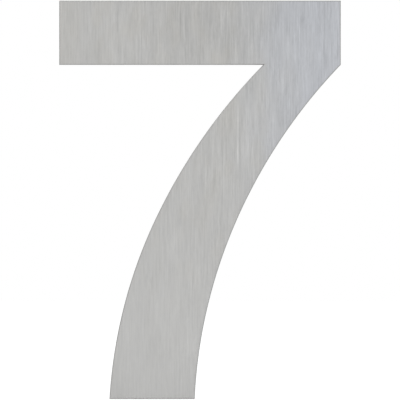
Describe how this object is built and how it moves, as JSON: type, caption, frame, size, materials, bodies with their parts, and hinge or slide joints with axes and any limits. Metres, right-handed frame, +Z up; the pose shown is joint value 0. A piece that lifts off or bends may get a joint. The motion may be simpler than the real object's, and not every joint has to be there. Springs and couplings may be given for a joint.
{
  "type": "house number",
  "caption": "Flat house number, the digit seven, cut from brushed stainless steel plate, with threaded studs on its back for fixing out of sight to a wall, door or gate.",
  "frame": {"origin": "on the wall plane, which is the plate's back face, at the middle of the number's overall width and height", "axes": "+X to the reader's right along the bar, +Y into the wall along the studs, +Z up the number; it is read from -Y"},
  "size_m": [0.106, 0.033, 0.15],
  "materials": {
    "brushed_stainless": "austenitic stainless steel plate, face brushed with upright lines, edges cut and deburred, back left as rolled",
    "stud_steel": "stainless steel weld stud with rolled thread, bright"
  },
  "bodies": {
    "root": {"number_plate": "brushed_stainless", "stud_bar_left": "stud_steel", "stud_bar_right": "stud_steel", "stud_foot": "stud_steel"}
  },
  "joints": []
}
